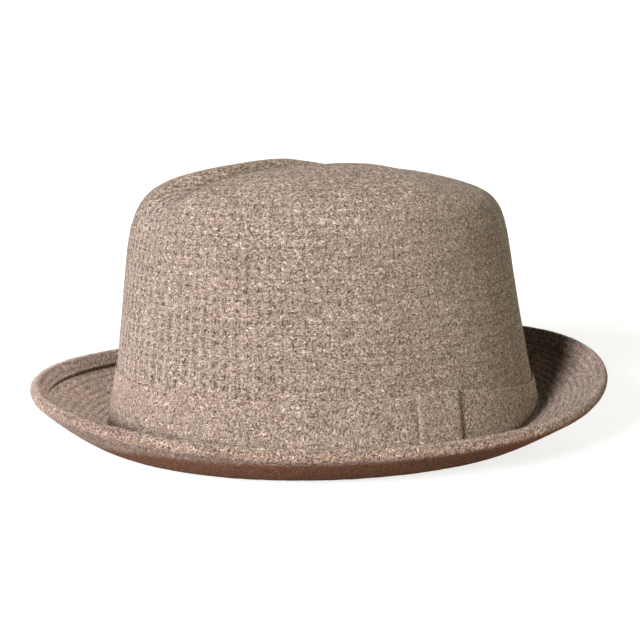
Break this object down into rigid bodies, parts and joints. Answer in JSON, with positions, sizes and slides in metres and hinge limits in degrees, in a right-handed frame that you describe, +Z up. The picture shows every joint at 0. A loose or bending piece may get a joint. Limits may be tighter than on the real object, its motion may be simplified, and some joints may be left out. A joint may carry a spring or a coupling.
{
  "type": "soft felt hat",
  "caption": "Soft felt hat with a creased crown, a short brim turned up all round, a cloth band with a keeper, a sweatband and a satin lining.",
  "frame": {"origin": "on the surface that the hat stands on, under the middle of the brim", "axes": "+Z up, -Y towards the front of the hat, +X towards the wearer's left, the side of the keeper"},
  "size_m": [0.2469, 0.2838, 0.1256],
  "materials": {
    "felt": "heathered brown and beige felted wool knit, matt",
    "band_felt": "heathered brown felted wool without the knit grid, matt",
    "thread": "brown sewing thread",
    "satin": "dark brown satin with a soft shine",
    "sweatband_leather": "smooth brown leather, slightly shiny",
    "reed": "thin dark piping",
    "tab": "blank woven tab, off-white",
    "wire": "thin spring wire"
  },
  "bodies": {
    "root": {"crown": "felt", "brim": "felt", "brim_wire": "wire", "hem_thread": "thread", "headline_seam": "thread", "hat_band": "band_felt", "band_keeper": "band_felt", "band_stitching": "thread", "sweatband": "sweatband_leather", "sweatband_reed": "reed", "sweatband_stitching": "thread", "sweatband_bow": "satin", "size_tab": "tab", "lining_side": "satin", "lining_tip": "satin", "lining_seam": "satin"}
  },
  "joints": []
}
